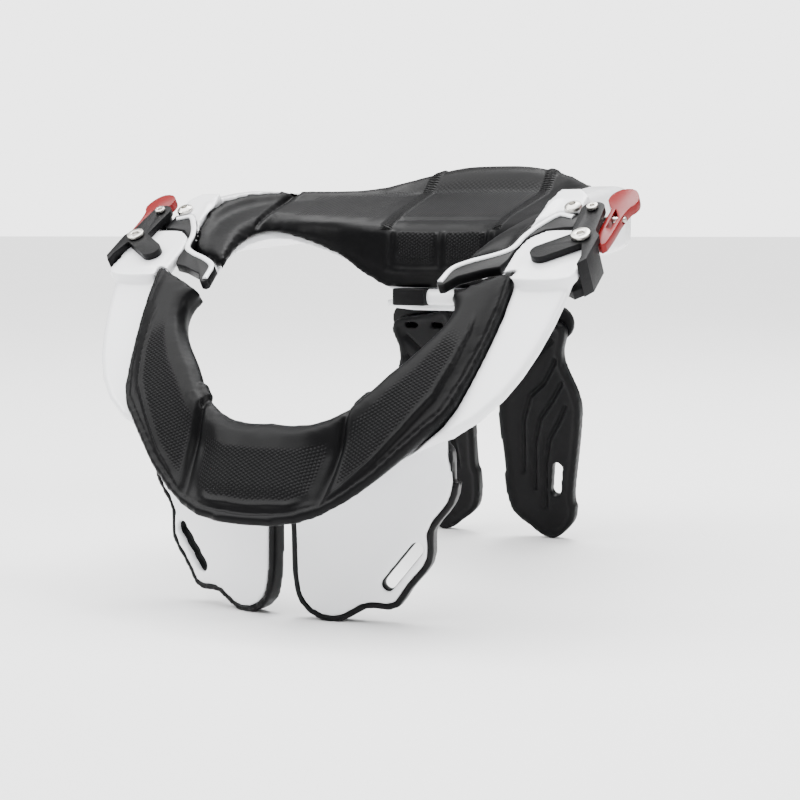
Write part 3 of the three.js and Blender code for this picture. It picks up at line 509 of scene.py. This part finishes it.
shellFill = {"grow": 0.45, "shrink": 0.315}  # thin edges outlast the remesh
shellLook = {
    "frontFrame": {"node": "front_frame", "body": "front_half", "voxel": 0.00095, "rounds": 6},
    "rearFrame": {"node": "rear_frame", "body": "rear_half", "voxel": 0.00098, "rounds": 6},
}
for pieceName, look in shellLook.items():
    shell = copyOf(look["node"], pieceName)
    applied(shell, "DISPLACE", strength=shellFill["grow"] * mm, mid_level=0)
    applied(shell, "REMESH", mode="VOXEL", voxel_size=look["voxel"])
    applied(shell, "SMOOTH", factor=0.5, iterations=look["rounds"])
    applied(shell, "DISPLACE", strength=-shellFill["shrink"] * mm, mid_level=0)
    smoothShade(shell)
    settle(shell, look["body"], "white_plastic", white, look["node"])
    print(pieceName, len(shell.data.polygons))

chestLook = {"voxel": 0.0009, "rounds": 4, "proud": 0.00045}
for sideName in sideSigns:
    backing = copyOf("chest_pad_" + sideName, "chestPad_" + sideName)
    applied(backing, "REMESH", mode="VOXEL", voxel_size=chestLook["voxel"])
    applied(backing, "SMOOTH", factor=0.5, iterations=chestLook["rounds"])
    setPositions(backing, positions(backing) + vertexNormals(backing) * chestLook["proud"])
    smoothShade(backing)
    settle(backing, "front_half", "dark_nylon", rubber, "chest_pad_" + sideName)
print("frames and chest pads made")


# Back wings

wingLook = {
    "halfWidth": 54, "height": 126, "thickness": 6, "foot": 181, "lean": 13.9, "outlineSteps": 96,
    "voxel": 0.0009, "rounds": 3, "grooveDepth": 2.1, "grooveWidth": 1.1,
    "rimHeight": 0.8, "rimWidth": 1.5, "rimPlace": 2.2, "faceFrom": -1.6, "faceTo": -0.6, "cutMargin": 2,
}
wingOutline = [
    (0.26, 0.985), (0.50, 0.985), (0.84, 0.960), (0.92, 0.91), (0.87, 0.80), (1.00, 0.63),
    (0.985, 0.50), (0.86, 0.21), (0.87, 0.14), (0.82, 0.070), (0.64, 0.001), (0.50, 0.010),
    (0.40, 0.040), (0.19, 0.12), (0.14, 0.26), (0.165, 0.32), (0.145, 0.52), (0.185, 0.70),
]
wingGrooves = [  # each a bent line from the outer top to the inner foot
    [(0.78, 0.885), (0.58, 0.80), (0.36, 0.74)],
    [(0.80, 0.80), (0.66, 0.70), (0.50, 0.64), (0.40, 0.52), (0.36, 0.30)],
    [(0.84, 0.70), (0.72, 0.62), (0.58, 0.54), (0.50, 0.42), (0.46, 0.22)],
    [(0.86, 0.60), (0.76, 0.52), (0.66, 0.45), (0.60, 0.34), (0.56, 0.14)],
]
wingSlot = {"from": (0.68, 0.215), "to": (0.72, 0.325), "radius": 2.75}
wingWindows = {"places": (0.42, 0.70), "height": 0.935, "half": 2.2, "radius": 1.5}


def curvePoint(a, b, c, d, t):  # a smooth curve's place between b and c
    return 0.5 * (2 * b + (c - a) * t + (2 * a - 5 * b + 4 * c - d) * t * t
                  + (3 * b - a - 3 * c + d) * t ** 3)


def smoothLoop(points, count):  # a closed smooth curve through the points
    ring = np.array(points, float)
    made = []
    for step in np.linspace(0, len(ring), count, endpoint=False):
        start = int(step)
        around = (ring[(start + offset) % len(ring)] for offset in (-1, 0, 1, 2))
        made.append(curvePoint(*around, step - start))
    return np.array(made)


def lineDistance(points, line):
    best = np.full(len(points), 1e9)
    for start, end in zip(line[:-1], line[1:]):
        way = end - start
        share = np.clip(((points - start) @ way) / (way @ way), 0, 1)
        best = np.minimum(best, np.linalg.norm(points - start - share[:, None] * way, axis=1))
    return best


def slab(name, loop, low, high):  # a flat outline, extruded
    clearSelection()
    bpy.ops.mesh.primitive_circle_add(vertices=len(loop), fill_type="NGON")
    plate = bpy.context.object
    plate.name = name
    setPositions(plate, np.column_stack([loop, np.full(len(loop), low)]) * mm)
    editAll(plate,
            (bpy.ops.mesh.extrude_region_move,
             {"TRANSFORM_OT_translate": {"value": (0, 0, (high - low) * mm)}}),
            (bpy.ops.mesh.select_all, {"action": "SELECT"}),
            (bpy.ops.mesh.normals_make_consistent, {"inside": False}))
    return plate


def cutAway(piece, loop, low, high):
    cutter = slab("cutter", loop, low, high)
    applied(piece, "BOOLEAN", operation="DIFFERENCE", object=cutter, solver="EXACT")
    bpy.data.objects.remove(cutter)


def rounded(piece, width, angle, **settings):
    applied(piece, "BEVEL", width=width * mm, segments=3, limit_method="ANGLE", angle_limit=angle, **settings)


def capsuleLoop(start, end, radius, steps=10):
    way = np.array(end, float) - start
    turn = math.atan2(way[1], way[0])
    made = []
    for middle, first in ((end, turn - math.pi / 2), (start, turn + math.pi / 2)):
        for step in range(steps + 1):
            angle = first + math.pi * step / steps
            made.append((middle[0] + radius * math.cos(angle), middle[1] + radius * math.sin(angle)))
    return np.array(made)


def ringLoop(middle, radius, count):
    turns = np.arange(count) * math.tau / count
    return middle + radius * np.column_stack([np.cos(turns), np.sin(turns)])


def leanBack(points):  # from a wing's flat outline to its place on the brace
    lean = math.radians(90 + wingLook["lean"])
    turned = np.column_stack([
        points[:, 0],
        points[:, 1] * math.cos(lean) - points[:, 2] * math.sin(lean),
        points[:, 1] * math.sin(lean) + points[:, 2] * math.cos(lean)])
    return turned + (np.array([0, wingLook["foot"], 0]) + shift) * mm


def makeWing(sideName, sign):
    look = wingLook
    scale = np.array([look["halfWidth"] * sign, look["height"]])
    loop = smoothLoop(wingOutline, look["outlineSteps"]) * scale
    plate = slab("backWing_" + sideName, loop if sign > 0 else loop[::-1], -look["thickness"], 0)
    holes = [capsuleLoop(wingSlot["from"] * scale, wingSlot["to"] * scale, wingSlot["radius"])]
    for share in wingWindows["places"]:
        middle = np.array([share, wingWindows["height"]]) * scale
        half = np.array([wingWindows["half"], 0])
        holes.append(capsuleLoop(middle - half, middle + half, wingWindows["radius"]))
    for hole in holes:
        cutAway(plate, hole, -look["thickness"] - look["cutMargin"], look["cutMargin"])
    applied(plate, "REMESH", mode="VOXEL", voxel_size=look["voxel"])
    applied(plate, "SMOOTH", factor=0.5, iterations=look["rounds"])
    points = positions(plate)
    flat = points[:, :2] / mm
    face = ease(look["faceFrom"], look["faceTo"], points[:, 2] / mm)
    edge = lineDistance(flat, np.vstack([loop, loop[:1]]))
    lift = look["rimHeight"] * ridge(look["rimPlace"], look["rimWidth"], edge)
    for groove in wingGrooves:
        line = np.array(groove) * scale
        lift -= look["grooveDepth"] * ridge(0, look["grooveWidth"], lineDistance(flat, line))
    points[:, 2] += lift * face * mm
    setPositions(plate, leanBack(points))
    smoothShade(plate)
    settle(plate, "rear_half", "dark_nylon", nylon, "back_wing_" + sideName)


# Clamps behind the wings' tops, which hold them to the carrier

clampLook = {
    "from": (17, 118.6), "to": (43, 118.6), "radius": 9.3, "front": -6.2, "thickness": 3.6, "round": 1.0,
    "screwPlaces": (23.4, 37.1), "screwHeight": 117.8, "screwRadius": 2.7, "screwDepth": 1.5,
    "screwSink": 0.4, "screwRound": 0.35, "screwSides": 24,
    "socket": 1.25, "socketDepth": 0.9, "socketSides": 6, "roundAngle": 0.7, "smoothAngle": 35,
}


def makeClamp(sideName, sign):
    look = clampLook
    ends = np.array([look["from"], look["to"]]) * (sign, 1)
    loop = capsuleLoop(ends[0], ends[1], look["radius"])
    back = look["front"] - look["thickness"]
    plate = slab("wingClamp_" + sideName, loop, back, look["front"])
    rounded(plate, look["round"], look["roundAngle"])
    setPositions(plate, leanBack(positions(plate)))
    smoothShade(plate, look["smoothAngle"])
    settle(plate, "rear_half", "dark_nylon", nylon)
    for number, across in enumerate(look["screwPlaces"]):
        middle = np.array([across * sign, look["screwHeight"]])
        top = back - look["screwDepth"]
        outline = ringLoop(middle, look["screwRadius"], look["screwSides"])
        head = slab(f"clampScrew{number + 1}_{sideName}", outline, top, back + look["screwSink"])
        rounded(head, look["screwRound"], look["roundAngle"])
        socket = ringLoop(middle, look["socket"], look["socketSides"])
        cutAway(head, socket, top - 1, top + look["socketDepth"])
        setPositions(head, leanBack(positions(head)))
        smoothShade(head, look["smoothAngle"])
        settle(head, "rear_half", "steel", steel)


for sideName, sign in sideSigns.items():
    makeWing(sideName, sign)
    makeClamp(sideName, sign)
print("wings made")


# Hard fittings: each a copy of its CAD node with its edges rounded

fittings = {
    "clasp_bracket": {"body": "front_half", "slot": "dark_nylon", "finish": nylon, "round": 0.7},
    "strut_bracket": {"body": "rear_half", "slot": "dark_nylon", "finish": nylon, "round": 0.7},
    "bumper": {"body": "rear_half", "slot": "dark_nylon", "finish": rubber, "round": 0.5},
    "release_lever": {"body": "lever", "slot": "red_plastic", "finish": red, "round": 0.8},
    "lever_pin": {"body": "front_half", "slot": "steel", "finish": steel, "round": 0.2},
    "large_screw": {"body": "front_half", "slot": "steel", "finish": steel, "round": 0.25},
    "small_screw": {"body": "front_half", "slot": "steel", "finish": steel, "round": 0.2},
    "dome_screw": {"body": "rear_half", "slot": "steel", "finish": steel, "round": 0.15},
}


def bevelledCopy(nodeName, pieceName, width, angle, smoothAngle, **settings):
    piece = copyOf(nodeName, pieceName)
    editAll(piece, (bpy.ops.mesh.dissolve_limited, {"angle_limit": math.radians(1.5)}))
    rounded(piece, width, math.radians(angle), **settings)
    smoothShade(piece, smoothAngle)
    return piece


def makeFitting(nodeName, body, look):
    parts = nodeName.split("_")
    pieceName = parts[0] + "".join(word.capitalize() for word in parts[1:-1]) + "_" + parts[-1]
    piece = bevelledCopy(nodeName, pieceName, look["round"], 32, 38, miter_outer="MITER_ARC")
    settle(piece, body, look["slot"], look["finish"], nodeName)


for fittingName, look in fittings.items():
    for sideName in sideSigns:
        body = "lever_" + sideName if look["body"] == "lever" else look["body"]
        makeFitting(fittingName + "_" + sideName, body, look)


# White edge strips between the rear pad and the bumpers, on the clasp plane

stripLook = {"inset": 1.5, "radius": 1.35, "height": -4.1, "flat": 0.55, "steps": 60, "sides": 12}
stripPath = [(-10.5, 21.5), (-18.5, 23.2), (-25.5, 14.5), (-29.6, 6), (-31.8, -3), (-37, -7.5),
             (-47.2, -12.8), (-54, -18.7), (-56, -29)]
claspPlane = {"screw": 114, "forward": 12.2, "height": 163.3, "tilt": 33.4}


def smoothPath(points, count):  # an open smooth curve through the points
    line = np.array(points, float)
    line = np.vstack([2 * line[0] - line[1], line, 2 * line[-1] - line[-2]])
    made = []
    for step in np.linspace(0, len(line) - 3 - 1e-6, count):
        start = int(step)
        made.append(curvePoint(*line[start:start + 4], step - start))
    return np.array(made)


def onClaspPlane(across, along, height, sign):
    tilt = math.radians(claspPlane["tilt"])
    point = np.array([
        sign * (claspPlane["screw"] + across),
        claspPlane["forward"] + along * math.cos(tilt) - height * math.sin(tilt),
        claspPlane["height"] + along * math.sin(tilt) + height * math.cos(tilt)])
    return (point + shift) * mm


def makeStrip(sideName, sign):
    look = stripLook
    line = smoothPath(stripPath, look["steps"])
    way = np.gradient(line, axis=0)
    way /= np.linalg.norm(way, axis=1, keepdims=True)
    inward = np.column_stack([-way[:, 1], way[:, 0]])
    line = line + inward * look["inset"]
    sides = look["sides"]
    corners = []
    for centre, out in zip(line, inward):
        for step in range(sides):
            angle = math.tau * step / sides
            across = look["radius"] * math.cos(angle)
            height = look["height"] + look["radius"] * look["flat"] * math.sin(angle)
            corners.append(onClaspPlane(*(centre + out * across), height, sign))
    faces = []
    for row in range(len(line) - 1):
        for step in range(sides):
            after = (step + 1) % sides
            near, far = row * sides, (row + 1) * sides
            faces.append((near + step, near + after, far + after, far + step))
    faces.append(tuple(range(sides))[::-1])
    faces.append(tuple((len(line) - 1) * sides + step for step in range(sides)))
    mesh = bpy.data.meshes.new("edgeStrip_" + sideName)
    mesh.from_pydata(corners, [], faces)
    strip = bpy.data.objects.new("edgeStrip_" + sideName, mesh)
    bpy.context.scene.collection.objects.link(strip)
    editAll(strip, (bpy.ops.mesh.normals_make_consistent, {"inside": False}))
    smoothShade(strip, 60)
    settle(strip, "rear_half", "white_plastic", white)


for sideName, sign in sideSigns.items():
    makeStrip(sideName, sign)
print("edge strips made")

roller = bevelledCopy("strut_roller", "strutRoller", 0.4, 50, 30)
settle(roller, "rear_half", "white_plastic", white, "strut_roller")
print("fittings made")


# Floor, light and camera

studio = {
    "floor": 40.0, "air": 0.6, "backdrop": 3.6, "sun": 7.2, "sunSpread": 70,
    "lights": [  # place, size, watts
        {"from": (0.1, 0.6, 1.4), "size": 0.9, "power": 26},
        {"from": (-1.2, -0.9, 1.0), "size": 0.5, "power": 10},
        {"from": (1.3, -0.2, 1.0), "size": 0.5, "power": 12},
    ],
    "target": (0, 0, 0.1), "sunTurn": (12, -14, 0),
    "camera": (0.3762, -0.7087, 0.1680), "lens": 76.275, "sensor": 36, "reach": 50,
    "cameraRight": (0.886, 0.463, -0.003), "cameraBack": (0.461, -0.881, 0.103),
    "paperDark": (0.86, 0.86, 0.86, 1), "paperLight": (0.89, 0.89, 0.89, 1), "paperScale": 3,
}

clearSelection()
bpy.ops.mesh.primitive_plane_add(size=studio["floor"], location=(0, 0, 0))
floor = bpy.context.object
floor.name = "studioFloor"
floorFinish = Finish("floorPaper", Roughness=0.7)
floorFinish.feed(Base_Color=floorFinish.colour(
    floorFinish.noise(studio["paperScale"]), studio["paperDark"], studio["paperLight"]))
floor.data.materials.append(floorFinish.material)

world = bpy.data.worlds.new("studioAir")
bpy.context.scene.world = world
world.use_nodes = True
background = world.node_tree.nodes["Background"]
background.inputs["Color"].default_value = (1, 1, 1, 1)
sightline = world.node_tree.nodes.new("ShaderNodeLightPath")  # the backdrop is bright, the air softer
brightness = world.node_tree.nodes.new("ShaderNodeMapRange")
brightness.inputs["To Min"].default_value = studio["air"]
brightness.inputs["To Max"].default_value = studio["backdrop"]
world.node_tree.links.new(sightline.outputs["Is Camera Ray"], brightness.inputs["Value"])
world.node_tree.links.new(brightness.outputs["Result"], background.inputs["Strength"])

target = Vector(studio["target"])
for number, lamp in enumerate(studio["lights"]):
    clearSelection()
    bpy.ops.object.light_add(type="AREA", location=lamp["from"])
    light = bpy.context.object
    light.name = f"softLight{number + 1}"
    light.data.size = lamp["size"]
    light.data.energy = lamp["power"]
    light.rotation_euler = (target - Vector(lamp["from"])).to_track_quat("-Z", "Y").to_euler()

clearSelection()
sunTurn = tuple(math.radians(angle) for angle in studio["sunTurn"])
bpy.ops.object.light_add(type="SUN", location=(0, 0, 3), rotation=sunTurn)
bpy.context.object.name = "ceilingLight"
bpy.context.object.data.energy = studio["sun"]
bpy.context.object.data.angle = math.radians(studio["sunSpread"])

clearSelection()
bpy.ops.object.camera_add()
camera = bpy.context.object
camera.name = "photoCamera"
camera.data.lens = studio["lens"]
camera.data.sensor_width = studio["sensor"]
camera.data.clip_end = studio["reach"]
rightWay = Vector(studio["cameraRight"]).normalized()
backWay = Vector(studio["cameraBack"]).normalized()
upWay = backWay.cross(rightWay).normalized()
turn = Matrix((rightWay, upWay, backWay)).transposed().to_4x4()
camera.matrix_world = Matrix.Translation(studio["camera"]) @ turn
bpy.context.scene.camera = camera
print("studio made")
